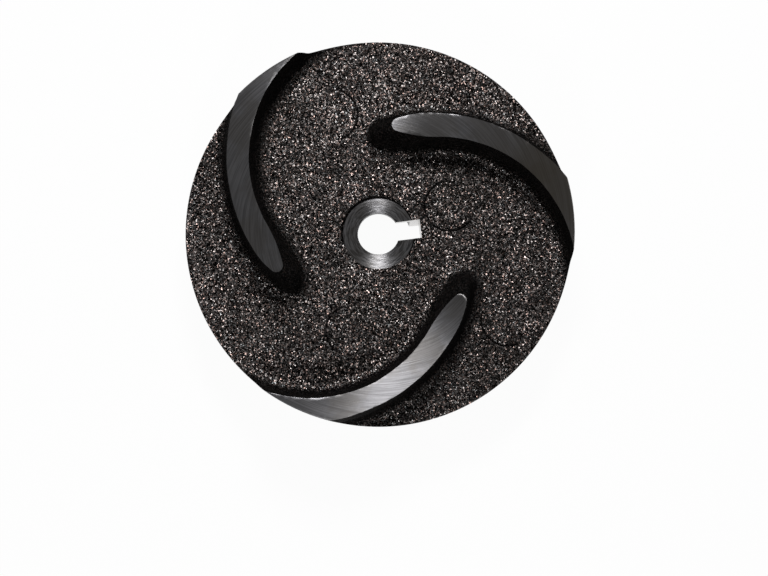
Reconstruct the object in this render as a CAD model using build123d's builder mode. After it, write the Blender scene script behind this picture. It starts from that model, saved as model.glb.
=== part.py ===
from build123d import *

import os
from math import cos, degrees, radians, sin, tan

# Semi-open pump impeller: an iron casting of one piece, a disc with curved vanes on its front and a hub on
# its back. The vane tops, rim, hub, bores, keyway and seats are machined. Millimetres, with the axis on Z,
# the hub's back end at Z = 0 and the keyway along +X.

# Disc
disc_diameter = 125.0
disc_thickness = 6.0

# Hub behind the disc, thickened where it meets it
hub_diameter = 38.0
hub_length = 16.0
hub_root_bevel = 2.0

# Shaft bore, blind against a web, and the bolt hole and washer seat in that web
shaft_bore = 22.0
shaft_bore_chamfer = 0.8
web_thickness = 4.5
bolt_hole = 13.5
spot_face_diameter = 23.0
spot_face_depth = 0.6

# Keyway, cut right through
key_width = 6.0
key_height_over_shaft = 2.8

# Vanes
vane_count = 3
vane_height = 13.0
vane_draft = 6.0
vane_root_fillet = 4.5
vane_edge_break = 0.3

# Outline of a vane's top, a chain of tangent arcs. The hollow side is struck from a centre that stands off
# the axis, at an angle from the keyway, and its angle is counted from the line through both centres.
vane_centre_distance = 23.7
vane_centre_angle = -43.0
vane_hollow_radius = 43.8
vane_hollow_angle = 126.2
vane_taper_radius = 47.0
vane_taper_angle = 16.4
vane_nose_radius = 2.1
vane_nose_angle = 143.5
vane_shoulder_radius = 28.5
vane_shoulder_angle = 17.4
vane_back_radius = 55.7

# The nose slopes: down at the vane's foot, a little higher than the root fillet, it reaches further in
vane_nose_reach = 5.0
vane_foot_margin = 1.5

# The casting is over size, its vanes run on past the rim, and turning cuts both to the disc's diameter
cutter_overlap = 1.0
overrun_start_angle = 5.0
overrun_back_angle = 72.0

disc_radius = disc_diameter / 2
disc_front = hub_length + disc_thickness
vane_top = disc_front + vane_height
vane_foot_height = vane_root_fillet + vane_foot_margin
blank_radius = vane_centre_distance + vane_back_radius + vane_root_fillet
web_back = disc_front - web_thickness
keyway_floor = shaft_bore / 2 + key_height_over_shaft


def vane_section(level):
    """A vane cut level, at this height over the disc: its top outline, opened by the draft, with the nose
    moved on about the centre of the hollow side."""
    depth = vane_height - level
    spread = depth * tan(radians(vane_draft))
    hollow_radius = vane_hollow_radius - spread
    start_angle = radians(overrun_start_angle)
    start = (vane_centre_distance + hollow_radius * cos(start_angle), hollow_radius * sin(start_angle))
    heading = (-sin(start_angle), cos(start_angle))
    with BuildSketch(Plane.XY.offset(disc_front + level)) as section:
        with BuildLine():
            hollow = JernArc(start, heading, hollow_radius, vane_hollow_angle - overrun_start_angle)
            taper = JernArc(hollow @ 1, hollow % 1, vane_taper_radius + spread, -vane_taper_angle)
            nose = JernArc(taper @ 1, taper % 1, vane_nose_radius + spread, -vane_nose_angle)
            shoulder = JernArc(nose @ 1, nose % 1, vane_shoulder_radius + spread, -vane_shoulder_angle)
            back = JernArc(shoulder @ 1, shoulder % 1, vane_back_radius + spread, -overrun_back_angle)
            TangentArc(back @ 1, hollow @ 0, tangent=back % 1)
        make_face()
    hollow_centre = Axis((vane_centre_distance, 0, 0), (0, 0, 1))
    slope = min(1, depth / (vane_height - vane_foot_height))
    reach_angle = degrees(slope * vane_nose_reach / vane_hollow_radius)
    return section.sketch.rotate(hollow_centre, reach_angle).rotate(Axis.Z, vane_centre_angle)


with BuildPart() as vane:
    # One cast vane on the disc, in a foot and a blade, standing in a rounded root
    with Locations((0, 0, disc_front)):
        Cylinder(blank_radius, disc_thickness, align=(Align.CENTER, Align.CENTER, Align.MAX))
    loft([vane_section(0), vane_section(vane_foot_height)], ruled=True)
    loft([vane_section(vane_foot_height), vane_section(vane_height)], ruled=True)
    cast_face = vane.faces().filter_by(Axis.Z).filter_by_position(Axis.Z, disc_front, disc_front)[0]
    fillet(cast_face.inner_wires().edges(), vane_root_fillet)

with BuildPart() as impeller:
    # The whole casting: every vane, and the hub behind the disc
    with PolarLocations(0, vane_count):
        add(vane.part)
    with BuildSketch():
        Circle(hub_diameter / 2)
    extrude(amount=hub_length)
    back_edges = impeller.edges().filter_by(GeomType.CIRCLE).filter_by_position(Axis.Z, hub_length, hub_length)
    chamfer(back_edges.sort_by(SortBy.RADIUS)[0], hub_root_bevel)

    # Rim and vane ends turned to size, with the vanes' outer corners broken
    with BuildSketch(Plane.XZ):
        with BuildLine():
            Polyline(
                (disc_radius, hub_length - cutter_overlap),
                (disc_radius, vane_top - vane_edge_break),
                (disc_radius - vane_edge_break - cutter_overlap, vane_top + cutter_overlap),
                (blank_radius + cutter_overlap, vane_top + cutter_overlap),
                (blank_radius + cutter_overlap, hub_length - cutter_overlap),
                close=True,
            )
        make_face()
    revolve(axis=Axis.Z, mode=Mode.SUBTRACT)

    # Shaft bore up to the web
    with BuildSketch():
        Circle(shaft_bore / 2)
    extrude(amount=web_back, mode=Mode.SUBTRACT)
    hub_end_edges = impeller.edges().filter_by(GeomType.CIRCLE).group_by(Axis.Z)[0]
    chamfer(hub_end_edges.sort_by(SortBy.RADIUS)[0], shaft_bore_chamfer)

    # Bolt hole through the web, and the washer's seat faced into the front of the disc
    with BuildSketch(Plane.XY.offset(web_back)):
        Circle(bolt_hole / 2)
    extrude(amount=web_thickness, mode=Mode.SUBTRACT)
    with BuildSketch(Plane.XY.offset(disc_front)):
        Circle(spot_face_diameter / 2)
    extrude(amount=-spot_face_depth, mode=Mode.SUBTRACT)

    # Keyway, broached through hub and web
    with BuildSketch():
        Rectangle(keyway_floor, key_width, align=(Align.MIN, Align.CENTER))
    extrude(amount=disc_front, mode=Mode.SUBTRACT)

impeller.part.label = "impeller"
os.makedirs("parts", exist_ok=True)
export_step(impeller.part, "parts/impeller.step")
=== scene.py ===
import math

import bpy
import numpy as np
from mathutils import Euler, Matrix, Vector
from mathutils.geometry import delaunay_2d_cdt


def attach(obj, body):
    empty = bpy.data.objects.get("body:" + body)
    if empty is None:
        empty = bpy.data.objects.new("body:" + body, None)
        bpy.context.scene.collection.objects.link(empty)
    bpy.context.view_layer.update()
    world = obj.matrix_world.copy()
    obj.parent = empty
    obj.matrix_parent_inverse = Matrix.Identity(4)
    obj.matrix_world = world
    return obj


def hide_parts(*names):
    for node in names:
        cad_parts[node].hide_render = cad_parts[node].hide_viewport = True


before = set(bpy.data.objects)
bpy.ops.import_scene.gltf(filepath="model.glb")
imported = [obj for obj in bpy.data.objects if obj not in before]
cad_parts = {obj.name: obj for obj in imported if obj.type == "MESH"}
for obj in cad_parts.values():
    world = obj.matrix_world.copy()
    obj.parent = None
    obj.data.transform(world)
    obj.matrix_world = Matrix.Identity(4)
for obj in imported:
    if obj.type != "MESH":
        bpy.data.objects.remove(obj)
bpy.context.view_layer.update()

# The impeller as it stands in the frame. One grey iron casting, a disc with three curved vanes on its front and
# a hub behind: sand-cast skin on the disc, vane sides and rounded roots, and turned faces wherever it runs or
# fits. Its solid is merged, made fine enough for the rough skin, and given the skin's unevenness.
MM = 0.001
RIM_RADIUS = 62.5
VANE_TOP = 35.0
DISC_FRONT = 22.0
DISC_BACK = 16.0
SEAT_LEVEL = 21.4
WEB_BACK = 17.5
SEAT_RADIUS = 11.5
BOLT_RADIUS = 6.75
BORE_RADIUS = 11.0
HUB_RADIUS = 19.0
KEYWAY_SIDE = 3.0
KEYWAY_FLOOR = 13.8
VANE_CORNER = 0.32
BORE_CORNER = 0.9

# the casting's surfaces, by number, and which way they face: the flats in space, the round ones as a part
# outwards from the axis and a part up
(SKIN, FRONT, BACK, BEVEL, TOPS, RIM, CORNER, SEAT, STEP, HOLE, BORE, LEAD_IN, WEB, HUB, HUB_END,
 KEY_UP, KEY_DOWN, KEY_FLOOR) = range(18)
DIAGONAL = 0.7071
FLAT_NORMALS = {
    FRONT: (0, 0, 1), BACK: (0, 0, -1), TOPS: (0, 0, 1), SEAT: (0, 0, 1), WEB: (0, 0, -1), HUB_END: (0, 0, -1),
    KEY_UP: (0, 1, 0), KEY_DOWN: (0, -1, 0), KEY_FLOOR: (-1, 0, 0),
}
ROUND_NORMALS = {
    RIM: (1, 0), CORNER: (DIAGONAL, DIAGONAL), BEVEL: (DIAGONAL, -DIAGONAL), STEP: (-1, 0), HOLE: (-1, 0),
    BORE: (-1, 0), LEAD_IN: (-DIAGONAL, -DIAGONAL), HUB: (1, 0),
}
CAST = [SKIN, FRONT, BACK, BEVEL]
BROACHED = [KEY_UP, KEY_DOWN, KEY_FLOOR]
FACED = [TOPS, CORNER, RIM]

# how long a triangle's edge may be on each kind of surface, and the flats that are filled afresh
FRONT_EDGE = 0.62
BACK_EDGE = 1.3
TURNED_EDGE = 2.5
FLAT_EDGE = 0.9
FILLED = {
    FRONT: (DISC_FRONT, FRONT_EDGE), BACK: (DISC_BACK, BACK_EDGE), TOPS: (VANE_TOP, FLAT_EDGE),
    SEAT: (SEAT_LEVEL, FLAT_EDGE),
}

# the skin's unevenness, as waves laid over each other: height, pitch and seed
WAVES = ((0.035, 1.5, 1), (0.04, 2.9, 2), (0.08, 9.0, 3))

# fine rings that round plugs in the pattern left in the floor: middle, radius, the side in degrees on which the
# ring is clearest, and how much of it shows
RING_WIDTH = 0.45
RING_DEPTH = 0.20
RINGS = (
    ((-10.4, 40.2), 8.4, -10, 0.45),
    ((24.0, 6.1), 8.1, 200, 0.85),
    ((-12.6, -30.2), 8.1, 170, 0.35),
    ((38.0, -32.8), 8.4, 225, 0.35),
)

# the skin's lip has sunk round the washer's seat: widest on one side, in degrees, and fading out opposite
# another; its rows of points stop short of the keyway, by half of that turn in radians
LIP_WIDTH = 0.85
LIP_DEPTH = 0.45
LIP_WIDEST_SIDE = 123
LIP_CLEAR_SIDE = 75
LIP_PITCH = 0.4
KEYWAY_HALF_TURN = 0.3

# the vane tops' edges are worn by handling, here and there
WEAR_WIDTH = 0.16
WEAR_DEPTH = 0.05


def merged(mesh):
    """The CAD mesh's points, in millimetres, with the copies along its faces' borders merged, and its
    triangles."""
    merge_steps = 5000
    points = np.empty(len(mesh.vertices) * 3)
    mesh.vertices.foreach_get("co", points)
    points = points.reshape(-1, 3) / MM
    mesh.calc_loop_triangles()
    triangles = np.empty(len(mesh.loop_triangles) * 3, np.int32)
    mesh.loop_triangles.foreach_get("vertices", triangles)
    keys = np.round(points * merge_steps).astype(np.int64)
    keys, first, place = np.unique(keys, axis=0, return_index=True, return_inverse=True)
    triangles = place.reshape(-1)[triangles].reshape(-1, 3)
    a, b, c = triangles.T
    return points[first], triangles[(a != b) & (b != c) & (c != a)]


def unit(vectors):
    """Vectors made one long."""
    return vectors / np.maximum(np.linalg.norm(vectors, axis=1, keepdims=True), 1e-12)


def face_normals(points, triangles):
    """Each triangle's normal, as long as twice its area."""
    a, b, c = (points[triangles[:, k]] for k in range(3))
    return np.cross(b - a, c - a)


def surfaces_of(points, triangles):
    """Which of the casting's surfaces each triangle lies on, from its corners' radius and height and its
    normal."""
    close, along, nearly_along, about, bolt_side = 0.01, 0.99, 0.97, 0.05, 5
    normal = unit(face_normals(points, triangles))
    x, y, z = (points[:, k][triangles] for k in range(3))
    radius = np.hypot(x, y)
    middle = points[triangles].mean(axis=1)
    reach = np.maximum(np.hypot(middle[:, 0], middle[:, 1]), 1e-9)
    outward = (normal[:, :2] * middle[:, :2]).sum(axis=1) / reach

    def level(height):
        return np.all(np.abs(z - height) < close, axis=1) & (np.abs(normal[:, 2]) > along)

    def tube(size):
        return np.all(np.abs(radius - size) < close, axis=1) & (np.abs(outward) > nearly_along)

    def cone(up):
        return np.abs(normal[:, 2] - up * DIAGONAL) < about

    kind = np.full(len(triangles), SKIN)
    for surface, height in ((FRONT, DISC_FRONT), (BACK, DISC_BACK), (TOPS, VANE_TOP), (SEAT, SEAT_LEVEL),
                            (WEB, WEB_BACK), (HUB_END, 0)):
        kind[level(height)] = surface
    kind[tube(RIM_RADIUS)] = RIM
    at_rim = np.all((radius > RIM_RADIUS - VANE_CORNER) & (z > VANE_TOP - VANE_CORNER), axis=1)
    kind[cone(1) & at_rim] = CORNER
    behind_disc = np.all((radius > HUB_RADIUS - close) & (z < DISC_BACK + close), axis=1)
    kind[cone(-1) & behind_disc] = BEVEL
    kind[cone(-1) & np.all(radius < BORE_RADIUS + BORE_CORNER, axis=1)] = LEAD_IN
    for surface, size in ((STEP, SEAT_RADIUS), (HOLE, BOLT_RADIUS), (BORE, BORE_RADIUS), (HUB, HUB_RADIUS)):
        kind[tube(size)] = surface
    slot = np.all((np.abs(y) < KEYWAY_SIDE + close) & (x > bolt_side) & (x < KEYWAY_FLOOR + close), axis=1)
    kind[slot & (normal[:, 1] > along)] = KEY_UP
    kind[slot & (normal[:, 1] < -along)] = KEY_DOWN
    kind[slot & (normal[:, 0] < -along) & np.all(x > KEYWAY_FLOOR - close, axis=1)] = KEY_FLOOR
    return kind


def skin_normals(points, triangles, kind):
    """The rough skin's normal at each point: the mean of its triangles' normals, weighted by the angle that
    each has there, and straight up where the skin runs into the disc's flat front."""
    skin = triangles[kind == SKIN]
    normal = unit(face_normals(points, skin))
    total = np.zeros_like(points)
    for k in range(3):
        here, ahead, behind = (points[skin[:, (k + step) % 3]] for step in (0, 1, 2))
        u, v = ahead - here, behind - here
        lengths = np.linalg.norm(u, axis=1) * np.linalg.norm(v, axis=1)
        cosine = (u * v).sum(axis=1) / np.maximum(lengths, 1e-12)
        np.add.at(total, skin[:, k], normal * np.arccos(np.clip(cosine, -1, 1))[:, None])
    total[np.unique(triangles[kind == FRONT])] = (0, 0, 1)
    return unit(total)


def normals_on(surface, points, skin):
    """The true normal of each surface at each point: fixed on flats, radial on turned ones, and the skin's
    own."""
    normal = skin.copy()
    radius = np.maximum(np.hypot(points[:, 0], points[:, 1]), 1e-9)
    for kind, (out, up) in ROUND_NORMALS.items():
        on = surface == kind
        x, y = out * points[on, 0] / radius[on], out * points[on, 1] / radius[on]
        normal[on] = np.stack([x, y, np.full(on.sum(), up)], axis=1)
    for kind, flat in FLAT_NORMALS.items():
        normal[surface == kind] = flat
    return normal


def edges_of(triangles, kind):
    """Each edge once, with the place of each triangle's three edges among them, the surfaces on its two sides
    and how many sides it has."""
    sides = np.stack([triangles, np.roll(triangles, -1, axis=1)], axis=2).reshape(-1, 2)
    edges, place = np.unique(np.sort(sides, axis=1), axis=0, return_inverse=True)
    place = place.reshape(-1)
    lower = np.full(len(edges), 99)
    upper = np.full(len(edges), -1)
    np.minimum.at(lower, place, np.repeat(kind, 3))
    np.maximum.at(upper, place, np.repeat(kind, 3))
    return edges, place.reshape(-1, 3), lower, upper, np.bincount(place, minlength=len(edges))


def middles_on(points, skin, ends, surfaces):
    """A point for the middle of each edge, that stands off it by the arc that the surfaces' normals at both
    ends give, so that round stays round: each of the edge's two surfaces asks for a rise along its own normal,
    and the two are solved together."""
    middle = points[ends].mean(axis=1)
    rise, facing = [], []
    for surface in surfaces:
        near, far = (normals_on(surface, points[ends[:, k]], skin[ends[:, k]]) for k in (0, 1))
        start = ((middle - points[ends[:, 0]]) * near).sum(axis=1)
        end = ((middle - points[ends[:, 1]]) * far).sum(axis=1)
        rise.append(-0.25 * (start + end))
        facing.append(unit(near + far))
    cosine = (facing[0] * facing[1]).sum(axis=1)
    free = np.maximum(1 - cosine ** 2, 0.05)
    first, second = (rise[0] - cosine * rise[1]) / free, (rise[1] - cosine * rise[0]) / free
    both = first[:, None] * facing[0] + second[:, None] * facing[1]
    same_way = cosine > 0.9
    return middle + np.where(same_way[:, None], rise[0][:, None] * facing[0], both)


def parts_of(points, corners, halves, count):
    """The smaller triangles that replace those of which this many edges are halved."""
    turned = np.zeros(len(corners), int)
    if count == 1:
        turned = np.argmax(halves >= 0, axis=1)
    elif count == 2:
        turned = np.argmax(halves < 0, axis=1)
    order = (turned[:, None] + np.arange(3)) % 3
    (a, b, c), (ab, bc, ca) = (np.take_along_axis(one, order, 1).T for one in (corners, halves))
    if count == 1:
        return [(a, ab, c), (ab, b, c)]
    if count == 3:
        return [(a, ab, ca), (ab, b, bc), (ca, bc, c), (ab, bc, ca)]
    from_a = np.linalg.norm(points[a] - points[bc], axis=1) < np.linalg.norm(points[b] - points[ca], axis=1)
    return [(bc, c, ca), (a, np.where(from_a, bc, b), ca),
            (np.where(from_a, a, b), np.where(from_a, b, bc), np.where(from_a, bc, ca))]


def refined(points, triangles, kind, skin):
    """The triangles, halved along every edge that is too long for its surface, until none is."""
    most_rounds, slack = 14, 1.25
    for turn in range(most_rounds):
        edges, place, lower, upper, sides = edges_of(triangles, kind)
        length = np.linalg.norm(points[edges[:, 0]] - points[edges[:, 1]], axis=1)
        fine = np.isin(lower, [SKIN, FRONT]) | np.isin(upper, [SKIN, FRONT])
        coarse = np.isin(lower, [BACK, BEVEL]) | np.isin(upper, [BACK, BEVEL])
        wanted = np.where(fine, FRONT_EDGE, np.where(coarse, BACK_EDGE, TURNED_EDGE))
        cut = (length > wanted * slack) & ~((lower == upper) & np.isin(lower, list(FILLED)))
        if not cut.any():
            break
        ends = edges[cut]
        number = np.full(len(edges), -1)
        number[cut] = len(points) + np.arange(cut.sum())
        points = np.vstack([points, middles_on(points, skin, ends, (lower[cut], upper[cut]))])
        skin = np.vstack([skin, unit(skin[ends[:, 0]] + skin[ends[:, 1]])])
        halves = number[place]
        how_many = (halves >= 0).sum(axis=1)
        parts, kinds = [triangles[how_many == 0]], [kind[how_many == 0]]
        for count in (1, 2, 3):
            chosen = how_many == count
            made = parts_of(points, triangles[chosen], halves[chosen], count)
            parts += [np.stack(one, axis=1) for one in made]
            kinds += [kind[chosen]] * len(made)
        triangles, kind = np.vstack(parts), np.concatenate(kinds)
    return points, triangles, kind, skin


def in_blocks(places, answer):
    """The answers for many places, found a block of them at a time to save memory."""
    blocks = np.array_split(places, max(1, len(places) // 1500))
    return np.concatenate([answer(block) for block in blocks])


def inside(places, border_from, border_to):
    """Whether each place in the plane lies inside the borders: a line from it along X crosses them an odd
    number of times."""
    (x0, y0), (x1, y1) = border_from.T, border_to.T

    def crossed(block):
        x, y = block[:, 0, None], block[:, 1, None]
        spans = (y0 > y) != (y1 > y)
        crossing = x0 + (y - y0) * (x1 - x0) / np.where(y1 == y0, 1e-12, y1 - y0)
        return (spans & (crossing > x)).sum(axis=1) % 2 == 1

    return in_blocks(places, crossed)


def clear_of(places, corners, distance):
    """Those of the places that are further than this from every corner."""

    def gap(block):
        return ((block[:, None] - corners[None]) ** 2).sum(axis=2).min(axis=1)

    return places[np.sqrt(in_blocks(places, gap)) > distance]


def circle(middle, size, count, start=0.0, end=2 * np.pi):
    """Places on a circle or an arc of it."""
    turn = np.linspace(start, end, count, endpoint=False)
    return np.stack([middle[0] + size * np.cos(turn), middle[1] + size * np.sin(turn)], axis=1)


def distance_from(middle, places):
    """How far each place in the plane is from a middle."""
    return np.hypot(places[:, 0] - middle[0], places[:, 1] - middle[1])


def grid_within(flat, pitch, border_from, border_to, corners):
    """Places in staggered rows all over a flat, a little off its borders, with rows of their own along the vane
    tops' worn edges, round the washer's seat and along the rings in the floor."""
    reach = int(70 / pitch)
    rows, columns = np.mgrid[-reach:reach, -reach:reach]
    staggered = (columns + 0.5 * (rows % 2)) * pitch
    grid = np.stack([staggered, rows * pitch * 0.866], axis=2).reshape(-1, 2)
    grid = clear_of(grid[inside(grid, border_from, border_to)], corners, 0.6 * pitch)
    if flat == TOPS:
        run = border_to - border_from
        square_to = np.stack([-run[:, 1], run[:, 0]], axis=1) / np.hypot(run[:, 0], run[:, 1])[:, None]
        for side in (-WEAR_WIDTH, WEAR_WIDTH):
            for share in (0.25, 0.75):
                beside = border_from + share * run + side * square_to
                beside = beside[inside(beside, border_from, border_to)]
                grid = np.vstack([grid, clear_of(beside, corners, 0.7 * WEAR_WIDTH)])
    if flat == FRONT:
        grid = grid[np.hypot(grid[:, 0], grid[:, 1]) > SEAT_RADIUS + LIP_WIDTH + 0.3 * pitch]
        for size in (SEAT_RADIUS + LIP_WIDTH, SEAT_RADIUS + 0.5 * LIP_WIDTH):
            count = int(2 * np.pi * size / LIP_PITCH)
            lip = circle((0, 0), size, count, KEYWAY_HALF_TURN, 2 * np.pi - KEYWAY_HALF_TURN)
            grid = np.vstack([grid, lip])
        for middle, size, side, shown in RINGS:
            grid = grid[np.abs(distance_from(middle, grid) - size) > RING_WIDTH + 0.3 * pitch]
            count = int(2 * np.pi * size / (0.75 * pitch))
            for step in (-RING_WIDTH, 0, RING_WIDTH):
                grid = np.vstack([grid, circle(middle, size + step, count)])
    return grid


def fields_between(triangles, walls):
    """A number for each triangle, the same for all those that can be reached from each other without crossing a
    wall: every triangle takes the lowest number among its neighbours until nothing changes."""
    sides = np.sort(np.stack([triangles, np.roll(triangles, -1, axis=1)], axis=2).reshape(-1, 2), axis=1)
    many = triangles.max() + 1
    codes = sides[:, 0] * many + sides[:, 1]
    owner = np.repeat(np.arange(len(triangles)), 3)
    free = ~np.isin(codes, walls.min(axis=1) * many + walls.max(axis=1))
    order = np.argsort(codes[free], kind="stable")
    codes, owner = codes[free][order], owner[free][order]
    same = np.flatnonzero(codes[1:] == codes[:-1])
    one, other = owner[same], owner[same + 1]
    field = np.arange(len(triangles))
    while (field[one] != field[other]).any():
        low = np.minimum(field[one], field[other])
        np.minimum.at(field, field[one], low)
        np.minimum.at(field, field[other], low)
        np.minimum.at(field, one, low)
        np.minimum.at(field, other, low)
        field = field[field]
    return field


def fields_inside(placed, joined, walls, border_from, border_to):
    """The triangles of those fields that lie inside the borders, told by each field's largest triangle. Slivers
    on a border make fields of their own, and those go as well."""
    sliver = 1e-4
    a, b, c = (placed[joined[:, k]] for k in range(3))
    size = np.abs(np.cross(b - a, c - a))
    field = fields_between(joined, walls)
    order = np.argsort(-size, kind="stable")
    numbers, first = np.unique(field[order], return_index=True)
    largest = order[first]
    middle = placed[joined[largest]].mean(axis=1)
    real = (size[largest] > sliver) & inside(middle, border_from, border_to)
    return joined[np.isin(field, numbers[real])]


def flat_filled(points, triangles, kind, skin, flat):
    """One of the casting's flats, filled between its borders with even triangles: a grid of places, joined to
    the borders by a constrained Delaunay triangulation."""
    height, pitch = FILLED[flat]
    triangles, kind = triangles[kind != flat], kind[kind != flat]
    edges, place, lower, upper, sides = edges_of(triangles, kind)
    border = edges[(sides == 1) & (np.abs(points[edges][:, :, 2] - height).max(axis=1) < 0.02)]
    border_from, border_to = points[border[:, 0], :2], points[border[:, 1], :2]
    rim = np.unique(border)
    grid = grid_within(flat, pitch, border_from, border_to, points[rim][:, :2])
    flat_points = np.vstack([points[rim][:, :2], grid])
    number = np.full(len(points), -1)
    number[rim] = np.arange(len(rim))
    whole_plane, nearest = 0, 1e-7
    out = delaunay_2d_cdt([tuple(p) for p in flat_points.tolist()], number[border].tolist(), [], whole_plane,
                          nearest, True)
    placed, joined = np.array([tuple(p) for p in out[0]]), np.array(out[2], np.int64)
    index = np.full(len(placed), -1)
    walls = np.full(len(points), -1)
    for new, old in enumerate(out[3]):
        for one in old:
            if one < len(rim):
                index[new] = rim[one]
                walls[rim[one]] = new
    joined = fields_inside(placed, joined, walls[border], border_from, border_to)
    fresh = index < 0
    index[fresh] = len(points) + np.arange(fresh.sum())
    points = np.vstack([points, np.column_stack([placed[fresh], np.full(fresh.sum(), height)])])
    facing = FLAT_NORMALS[flat]
    skin = np.vstack([skin, np.tile(facing, (fresh.sum(), 1))])
    joined = index[joined]
    wrong = face_normals(points, joined)[:, 2] * facing[2] < 0
    joined[wrong] = joined[wrong][:, ::-1]
    return points, np.vstack([triangles, joined]), np.concatenate([kind, np.full(len(joined), flat)]), skin


def unevenness(points, pitch, seed):
    """Smooth random heights from -1 to 1 in space, about one bump to each pitch: random numbers at the corners
    of a lattice, blended by an ease curve along each axis."""
    primes, mixers, shifts = (73856093, 19349663, 83492791), (2246822519, 3266489917), (15, 13)
    cell = np.floor(points / pitch).astype(np.int64)
    part = points / pitch - cell
    ease = part * part * (3 - 2 * part)
    total = np.zeros(len(points))
    for corner in np.ndindex(2, 2, 2):
        at = (cell + corner).astype(np.uint64)
        mixed = np.uint64(seed * 2654435761)
        for axis, prime in enumerate(primes):
            mixed = mixed ^ (at[:, axis] * np.uint64(prime))
        for mixer, shift in zip(mixers, shifts):
            mixed = (mixed ^ (mixed >> np.uint64(shift))) * np.uint64(mixer)
        value = ((mixed >> np.uint64(16)) & np.uint64(65535)).astype(float) / 32767.5 - 1
        weight = np.prod(np.where(np.array(corner) == 1, ease, 1 - ease), axis=1)
        total += value * weight
    return total


def sunk_rings(points):
    """How deep each point of the disc's front lies in one of the rings, from 0 to 1."""
    groove = np.zeros(len(points))
    on_front = np.abs(points[:, 2] - DISC_FRONT) < 0.1
    for middle, size, side, shown in RINGS:
        across = np.abs(distance_from(middle, points) - size) / RING_WIDTH
        turn = np.arctan2(points[:, 1] - middle[1], points[:, 0] - middle[0]) - math.radians(side)
        clear = (np.cos(turn) + 2 * shown - 0.8) * 1.6 + 0.5 * unevenness(points, 3.0, 9)
        groove = np.maximum(groove, np.clip(1 - across, 0, 1) * np.clip(clear, 0, 1) * on_front)
    return groove


def sunk_lip(points):
    """How far each point of the disc's front has sunk towards the washer's seat, from 0 to 1."""
    turn = np.arctan2(points[:, 1], points[:, 0])
    widest = np.clip(np.cos(turn - math.radians(LIP_WIDEST_SIDE)), 0, 1)
    width = LIP_WIDTH * (0.35 + 0.65 * widest)
    lip = np.clip((SEAT_RADIUS + width - np.hypot(points[:, 0], points[:, 1])) / (0.5 * width), 0, 1)
    lip *= np.clip(1.2 + 1.5 * np.cos(turn - math.radians(LIP_CLEAR_SIDE)), 0, 1)
    return lip * (np.abs(points[:, 2] - DISC_FRONT) < 0.1)


points, triangles = merged(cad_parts["impeller"].data)
kind = surfaces_of(points, triangles)
skin = skin_normals(points, triangles, kind)
points, triangles, kind, skin = refined(points, triangles, kind, skin)
for flat in FILLED:
    points, triangles, kind, skin = flat_filled(points, triangles, kind, skin, flat)

# the skin's unevenness, which stops at each turned face as if that had been cut through it
cast_normal = np.zeros_like(points)
for surface in CAST:
    at = np.unique(triangles[kind == surface])
    cast_normal[at] = normals_on(np.full(len(at), surface), points[at], skin[at])
at = np.unique(triangles[kind == SKIN])
cast_normal[at] = skin[at]
rise = sum(height * unevenness(points, pitch, seed) for height, pitch, seed in WAVES)
rings, lip = sunk_rings(points), sunk_lip(points)
rise -= RING_DEPTH * rings
rise -= LIP_DEPTH * lip
# where painted shade will make the rings and the sunk lip round the seat nearly black
shaded_rings_and_lip = np.maximum(rings, lip)
shift = cast_normal * rise[:, None]
for surface in range(KEY_FLOOR + 1):
    if surface in CAST:
        continue
    at = np.unique(triangles[kind == surface])
    normal = normals_on(np.full(len(at), surface), points[at], skin[at])
    shift[at] -= (shift[at] * normal).sum(axis=1)[:, None] * normal
points = points + shift

# the rim and the vane tops turned true, and the tops' edges worn
at = np.unique(triangles[kind == RIM])
points[at, :2] *= (RIM_RADIUS / np.hypot(points[at, 0], points[at, 1]))[:, None]
on_tops = np.unique(triangles[kind == TOPS])
points[on_tops, 2] = VANE_TOP
at = np.intersect1d(on_tops, np.unique(triangles[kind != TOPS]))
wear = 0.1 + 1.2 * unevenness(points[at], 4.0, 5) + 0.6 * unevenness(points[at], 1.3, 6)
points[at, 2] -= WEAR_DEPTH * np.clip(wear, 0.0, 1.6)

used, place = np.unique(triangles, return_inverse=True)
points, triangles = points[used], place.reshape(-1, 3)
mesh = bpy.data.meshes.new("impeller_casting")
mesh.from_pydata((points * MM).tolist(), [], triangles.tolist())
mesh.polygons.foreach_set("use_smooth", np.ones(len(triangles), bool))
finish = np.ones(len(kind))
for number, surfaces in ((0, CAST), (2, BROACHED), (3, FACED)):
    finish[np.isin(kind, surfaces)] = number
mesh.polygons.foreach_set("material_index", finish.astype(np.int32))

# a sharp edge wherever two surfaces meet, but for those that run into each other
edges, place, lower, upper, sides = edges_of(triangles, kind)
crease = lower != upper
for blended_pair in ([SKIN, FRONT], [BACK, BEVEL]):
    crease &= ~(np.isin(lower, blended_pair) & np.isin(upper, blended_pair))
keys = np.empty(len(mesh.edges) * 2, np.int32)
mesh.edges.foreach_get("vertices", keys)
keys = np.sort(keys.reshape(-1, 2), axis=1).astype(np.int64)
sharp_codes = edges[crease][:, 0].astype(np.int64) * len(points) + edges[crease][:, 1]
sharp = np.isin(keys[:, 0] * len(points) + keys[:, 1], sharp_codes)
mesh.attributes.new("sharp_edge", "BOOLEAN", "EDGE").data.foreach_set("value", sharp)
# the mask for the painted shade in the rings and round the seat's lip
mesh.attributes.new("ring_groove", "FLOAT", "POINT").data.foreach_set("value", shaded_rings_and_lip[used])
mesh.attributes.new("lying_flat", "FLOAT", "POINT").data.foreach_set("value", np.abs(cast_normal[used, 2]))
impeller = bpy.data.objects.new("impeller_casting", mesh)
bpy.context.scene.collection.objects.link(impeller)
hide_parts("impeller")
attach(impeller, "root")


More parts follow.
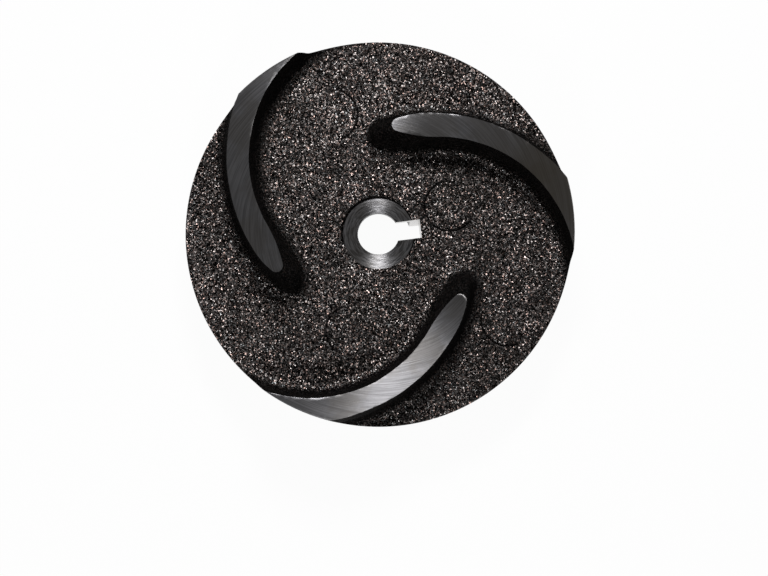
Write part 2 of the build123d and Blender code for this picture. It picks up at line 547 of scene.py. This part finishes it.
def add_node(tree, kind, settings=(), **links):
    """A new node of this kind, with its settings, and each of its inputs either linked or set. An input is
    named by its label in small letters with underscores, or by its number after an n."""
    made = tree.nodes.new(kind)
    for setting, value in dict(settings).items():
        setattr(made, setting, value)
    for label, value in links.items():
        if label[0] == "n" and label[1:].isdigit():
            socket = made.inputs[int(label[1:])]
        else:
            socket = next(one for one in made.inputs if one.name.lower().replace(" ", "_") == label)
        if isinstance(value, bpy.types.NodeSocket):
            tree.links.new(value, socket)
        else:
            socket.default_value = value
    return made


def maths(tree, operation, first, second=0.0, third=0.0):
    """The result of one sum on numbers."""
    return add_node(tree, "ShaderNodeMath", {"operation": operation}, n0=first, n1=second, n2=third).outputs[0]


def vector_maths(tree, operation, first, second=None, third=None, scale=None):
    """The result of one sum on vectors."""
    links = {"n0": first, "n1": second, "n2": third, "scale": scale}
    links = {label: value for label, value in links.items() if value is not None}
    return add_node(tree, "ShaderNodeVectorMath", {"operation": operation}, **links).outputs[0]


def eased(tree, value, low, high, at_low=0.0, at_high=1.0):
    """A number that goes smoothly from at_low to at_high while the value goes from low to high."""
    return add_node(tree, "ShaderNodeMapRange", {"interpolation_type": "SMOOTHSTEP"}, value=value, from_min=low,
                    from_max=high, to_min=at_low, to_max=at_high).outputs[0]


def blended(tree, factor, first, second, way="MIX"):
    """Two colours blended by a factor."""
    settings = {"data_type": "RGBA", "blend_type": way}
    return add_node(tree, "ShaderNodeMix", settings, n0=factor, n6=first, n7=second).outputs[2]


def noise(tree, place, scale, **others):
    """A noise texture's outputs."""
    return add_node(tree, "ShaderNodeTexNoise", vector=place, scale=scale, **others).outputs


def raised(tree, height):
    """The normal that a height in millimetres gives the surface."""
    return add_node(tree, "ShaderNodeBump", strength=1.0, distance=MM, height=height).outputs[0]


def new_group(name, outputs):
    """An empty node group that is given the place in millimetres, and its input and output nodes."""
    group = bpy.data.node_groups.new(name, "ShaderNodeTree")
    group.interface.new_socket("Place", in_out="INPUT", socket_type="NodeSocketVector")
    for label, kind in outputs.items():
        group.interface.new_socket(label, in_out="OUTPUT", socket_type="NodeSocket" + kind)
    return group, group.nodes.new("NodeGroupInput").outputs["Place"], group.nodes.new("NodeGroupOutput")


def new_material(name, group):
    """A material with its tree and shader, the place in millimetres, and the outputs of a node group that is
    fed with it."""
    material = bpy.data.materials.new(name)
    material.use_nodes = True
    tree = material.node_tree
    object_place = tree.nodes.new("ShaderNodeTexCoord").outputs["Object"]
    place = vector_maths(tree, "SCALE", object_place, scale=1 / MM)
    pattern = add_node(tree, "ShaderNodeGroup", {"node_tree": group}, place=place).outputs
    return material, tree, tree.nodes["Principled BSDF"], place, pattern


# The skin that the sand left: glassy black grains, each with a face of its own tilt and tone, on soft
# unevenness.
GRAIN = 0.52
sand_grain, place_in, out = new_group("sand_grain", {
    "Height": "Float", "Facet": "Vector", "Tone": "Float", "Hue": "Float",
})
swirl = noise(sand_grain, place_in, 0.9 / GRAIN, detail=1.0)["Color"]
swirl = vector_maths(sand_grain, "MULTIPLY_ADD", swirl, (0.4, 0.4, 0.4), place_in)
coarse = add_node(sand_grain, "ShaderNodeTexVoronoi", vector=swirl, scale=1 / GRAIN).outputs
fine = add_node(sand_grain, "ShaderNodeTexVoronoi", vector=swirl, scale=1.7 / GRAIN).outputs
lumps = noise(sand_grain, place_in, 0.45, detail=2.0, roughness=0.6)["Fac"]
LEVEL_FACE = (-0.5, -0.5, -0.5)
coarse_face = vector_maths(sand_grain, "ADD", coarse["Color"], LEVEL_FACE)
fine_face = vector_maths(sand_grain, "ADD", fine["Color"], LEVEL_FACE)
fine_face = vector_maths(sand_grain, "SCALE", fine_face, scale=0.6)
facet = vector_maths(sand_grain, "ADD", coarse_face, fine_face)
tone, hue = add_node(sand_grain, "ShaderNodeSeparateColor", color=fine["Color"]).outputs[:2]
height = maths(sand_grain, "MULTIPLY", lumps, 0.12)
height = maths(sand_grain, "MULTIPLY_ADD", coarse["Distance"], -0.05, height)
sand_grain.links.new(height, out.inputs["Height"])
sand_grain.links.new(facet, out.inputs["Facet"])
sand_grain.links.new(maths(sand_grain, "POWER", tone, 3.3), out.inputs["Tone"])
sand_grain.links.new(hue, out.inputs["Hue"])

# The material of the skin: reddish and bluish grains, darker patches, steep sides dull and nearly black with
# painted shade, and painted shade, nearly black, in the rings and round the seat.
PIT, GLINT = (0.0005, 0.0004, 0.0004, 1), (0.31, 0.28, 0.27, 1)
RUSTY, BLUISH = (1.0, 0.66, 0.55, 1), (0.66, 0.84, 0.92, 1)
# SOOT is for random darker patches; the second colour is painted shade for the rings and the seat's lip
SOOT, PAINTED_GROOVE_SHADE = (0.004, 0.0035, 0.003, 1), (0.004, 0.0035, 0.0035, 1)
# the strength of the painted shade on the steep sides
PAINTED_STEEP_SHADE = (0.09, 0.085, 0.085, 1)
skin_iron, tree, shader, place, grain = new_material("sand_cast_skin", sand_grain)
colour = blended(tree, grain["Tone"], PIT, GLINT)
colour = blended(tree, eased(tree, grain["Hue"], 0.60, 1.0, 0.0, 0.7), colour, RUSTY, "MULTIPLY")
colour = blended(tree, eased(tree, grain["Hue"], 0.40, 0.0, 0.0, 0.7), colour, BLUISH, "MULTIPLY")
patches = noise(tree, place, 0.08, detail=2.0)["Fac"]
colour = blended(tree, eased(tree, patches, 0.35, 0.65, 0.34, 0.0), colour, SOOT)
lying = add_node(tree, "ShaderNodeAttribute", {"attribute_name": "lying_flat"}).outputs["Fac"]
level = maths(tree, "MULTIPLY_ADD", grain["Tone"], 0.14, lying)
steep = eased(tree, level, 0.80, 0.99, 1.0, 0.0)
# painted shade: the steep sides' colour is multiplied down to about a tenth, as if they lay in shade
colour = blended(tree, steep, colour, blended(tree, 1.0, colour, PAINTED_STEEP_SHADE, "MULTIPLY"))
groove_shade_mask = add_node(tree, "ShaderNodeAttribute", {"attribute_name": "ring_groove"}).outputs["Fac"]
# painted shade, nearly black, in the rings' grooves and round the seat's sunk lip
colour = blended(tree, eased(tree, groove_shade_mask, 0.05, 0.6), colour, PAINTED_GROOVE_SHADE)
tree.links.new(colour, shader.inputs["Base Color"])
tilted = vector_maths(tree, "SCALE", grain["Facet"], scale=eased(tree, steep, 0.0, 1.0, 0.66, 0.4))
tilted = vector_maths(tree, "ADD", tilted, raised(tree, grain["Height"]))
tree.links.new(vector_maths(tree, "NORMALIZE", tilted), shader.inputs["Normal"])
tree.links.new(eased(tree, steep, 0.0, 1.0, 0.9, 0.0), shader.inputs["Metallic"])
tree.links.new(eased(tree, steep, 0.0, 1.0, 0.34, 0.85), shader.inputs["Roughness"])
shader.inputs["Specular IOR Level"].default_value = 0.05

# The turned faces: bright lines that run round the axis, as close as the tool's feed, under a thin dull film.
# The noise that makes them is read at radius, height and direction, the direction squeezed to draw it out.
DRAWN_OUT = 1.2
turning, place_in, out = new_group("turning_lines", {"Height": "Float", "Streak": "Float", "Film": "Float"})
across = add_node(turning, "ShaderNodeSeparateXYZ", vector=place_in).outputs
outward = add_node(turning, "ShaderNodeCombineXYZ", n0=across[0], n1=across[1]).outputs[0]
radius = add_node(turning, "ShaderNodeVectorMath", {"operation": "LENGTH"}, n0=outward).outputs["Value"]
way = add_node(turning, "ShaderNodeSeparateXYZ", vector=vector_maths(turning, "NORMALIZE", outward)).outputs
lathe_place = add_node(turning, "ShaderNodeCombineXYZ", n0=radius, n1=across[2],
                       n2=maths(turning, "MULTIPLY", way[0], DRAWN_OUT)).outputs[0]
far_round = maths(turning, "MULTIPLY", way[1], DRAWN_OUT)
lines, broad = (
    add_node(turning, "ShaderNodeTexNoise", {"noise_dimensions": "4D"}, vector=lathe_place, w=far_round,
             scale=scale, detail=2.0, roughness=roughness).outputs["Fac"]
    for scale, roughness in ((3.2, 0.6), (1.6, 0.5))
)
streak = maths(turning, "MULTIPLY_ADD", broad, 0.3, maths(turning, "MULTIPLY", lines, 0.7))
turning.links.new(maths(turning, "MULTIPLY", lines, 0.05), out.inputs["Height"])
turning.links.new(streak, out.inputs["Streak"])
turning.links.new(noise(turning, place_in, 0.09, detail=3.0, roughness=0.6)["Fac"], out.inputs["Film"])


def turned_material(name, dull, bright, spread, roughness, turn_of_lines, stains_and_painted_light):
    """Turned iron whose lines go from a dull to a bright colour, under the film and under soft spots of painted
    shade, painted highlight or stain, each with its middle, size, strength and colour. It shines along the
    lines only in a narrow band, and far across them."""
    film_colour = (0.13, 0.115, 0.095, 1)
    material, tree, shader, place, lines = new_material(name, turning)
    colour = blended(tree, eased(tree, lines["Streak"], 0.5 - spread, 0.5 + spread), dull, bright)
    colour = blended(tree, eased(tree, lines["Film"], 0.42, 0.62, 0.0, 0.35), colour, film_colour)
    for middle, size, share, tone_there in stains_and_painted_light:
        settings = {"operation": "DISTANCE"}
        apart = add_node(tree, "ShaderNodeVectorMath", settings, n0=place, n1=middle).outputs["Value"]
        colour = blended(tree, eased(tree, apart, 0.3 * size, size, share, 0.0), colour, tone_there)
    tree.links.new(colour, shader.inputs["Base Color"])
    tree.links.new(raised(tree, lines["Height"]), shader.inputs["Normal"])
    tangent = add_node(tree, "ShaderNodeTangent", {"direction_type": "RADIAL", "axis": "Z"})
    tree.links.new(tangent.outputs[0], shader.inputs["Tangent"])
    shader.inputs["Metallic"].default_value = 0.88
    shader.inputs["Roughness"].default_value = roughness
    shader.inputs["Anisotropic"].default_value = 0.93
    shader.inputs["Anisotropic Rotation"].default_value = turn_of_lines
    return material


# Bores, hub and seat, and the faced rim and vane tops, whose lines run a little askew. The spots are painted
# shade and painted highlight that even out how bright the lamps leave each place; only the last one, brownish
# at a vane's outer end, is a real stain.
DULL, BRIGHT = (0.085, 0.083, 0.087, 1), (0.33, 0.325, 0.335, 1)
turned_iron = turned_material("turned_iron", DULL, BRIGHT, 0.14, 0.28, 0.25, (
    # painted shade dulling the seat's highlight on the side towards the upper lamp
    ((1, 9.3, SEAT_LEVEL), 8, 0.55, (0.05, 0.049, 0.052, 1)),
    # painted highlight brightening the seat on the side towards the lower lamp
    ((-1, -9.3, SEAT_LEVEL), 8, 0.13, (0.50, 0.49, 0.50, 1)),
))
FACED_DULL, FACED_BRIGHT = (0.15, 0.148, 0.154, 1), (0.27, 0.266, 0.276, 1)
faced_iron = turned_material("faced_vane_iron", FACED_DULL, FACED_BRIGHT, 0.20, 0.34, 0.231, (
    # painted shade dulling the highlight on a vane's nose
    ((12, 35, VANE_TOP), 17, 0.62, (0.055, 0.054, 0.056, 1)),
    # painted shade dulling the highlight on another vane top
    ((21, -26, VANE_TOP), 14, 0.30, (0.05, 0.05, 0.052, 1)),
    # a real brownish stain
    ((58, 10, VANE_TOP), 26, 0.60, (0.12, 0.10, 0.072, 1)),
))

# The keyway's broached walls: bright, with fine lines along the axis.
broached_iron, tree, shader, place, lines = new_material("broached_iron", turning)
colour = blended(tree, lines["Film"], (0.55, 0.54, 0.53, 1), (0.70, 0.69, 0.68, 1))
tree.links.new(colour, shader.inputs["Base Color"])
drawn = vector_maths(tree, "MULTIPLY", place, (1, 1, 0.04))
drawn = noise(tree, drawn, 4.0, detail=2.0)["Fac"]
tree.links.new(raised(tree, maths(tree, "MULTIPLY", drawn, 0.02)), shader.inputs["Normal"])
shader.inputs["Metallic"].default_value = 1.0
shader.inputs["Roughness"].default_value = 0.25

for material in (skin_iron, turned_iron, broached_iron, faced_iron):
    mesh.materials.append(material)

# The floor under it: a wide white board, on which the hub's end stands. What looks at it sees it nearly white,
# with the casting's shadow faint on it.
BOARD = 6
NEARLY = 0.96
floor_mesh = bpy.data.meshes.new("floor")
corners = [(-BOARD, -BOARD, 0), (BOARD, -BOARD, 0), (BOARD, BOARD, 0), (-BOARD, BOARD, 0)]
floor_mesh.from_pydata(corners, [], [(0, 1, 2, 3)])
floor = bpy.data.objects.new("floor", floor_mesh)
bpy.context.scene.collection.objects.link(floor)
white = bpy.data.materials.new("white_board")
white.use_nodes = True
tree = white.node_tree
board = tree.nodes["Principled BSDF"]
board.inputs["Base Color"].default_value = (0.8, 0.8, 0.8, 1)
board.inputs["Roughness"].default_value = 0.9
seen = tree.nodes.new("ShaderNodeLightPath").outputs
looked_at = maths(tree, "MAXIMUM", seen["Is Camera Ray"], seen["Is Glossy Ray"])
looked_at = maths(tree, "MAXIMUM", looked_at, seen["Is Transmission Ray"])
glow = add_node(tree, "ShaderNodeEmission", color=(1, 1, 1, 1), strength=1.0)
glowing = maths(tree, "MULTIPLY", looked_at, NEARLY)
mixed = add_node(tree, "ShaderNodeMixShader", n0=glowing, n1=board.outputs[0], n2=glow.outputs[0])
tree.links.new(mixed.outputs[0], tree.nodes["Material Output"].inputs["Surface"])
floor_mesh.materials.append(white)

# The light: a small lamp high up beyond the bottom of the picture, a larger one beyond its top, and a dim room.
# Lamps and camera stand turned a little against the keyway.
TURN = math.radians(-6.9)
ROOM = 0.08
LAMPS = (
    ("lower_lamp", (-0.04, -0.40, 0.415), (0.075, 0.07), 0.98),
    ("upper_lamp", (0.0, 0.322, 0.445), (0.14, 0.12), 2.5),
)
world = bpy.data.worlds.new("room")
bpy.context.scene.world = world
world.use_nodes = True
world.node_tree.nodes["Background"].inputs["Color"].default_value = (1, 1, 1, 1)
world.node_tree.nodes["Background"].inputs["Strength"].default_value = ROOM
for name, place, size, power in LAMPS:
    lamp = bpy.data.lights.new(name, "AREA")
    lamp.shape = "RECTANGLE"
    lamp.size, lamp.size_y = size
    lamp.energy = power
    holder = bpy.data.objects.new(name, lamp)
    spot = Matrix.Rotation(TURN, 3, "Z") @ Vector(place)
    holder.location = spot
    holder.rotation_euler = (-spot).to_track_quat("-Z", "Y").to_euler()
    bpy.context.scene.collection.objects.link(holder)

# The camera: nearly straight above, a little towards the bottom of the picture, with a long lens.
SENSOR = 36
LENS_IN_PICTURE_WIDTHS = 2119.7 / 768
CAMERA_PLACE = (0.002554, -0.059954, 0.706363)
CAMERA_TILT = (0.0617, 0.0011, 0)
lens = bpy.data.cameras.new("camera")
lens.sensor_width = SENSOR
lens.lens = LENS_IN_PICTURE_WIDTHS * SENSOR
lens.clip_end = 20
camera = bpy.data.objects.new("camera", lens)
tilt = Euler(CAMERA_TILT).to_matrix().to_4x4()
camera.matrix_world = Matrix.Rotation(TURN, 4, "Z") @ Matrix.Translation(CAMERA_PLACE) @ tilt
bpy.context.scene.collection.objects.link(camera)
bpy.context.scene.camera = camera
bpy.context.scene.view_settings.view_transform = "Standard"
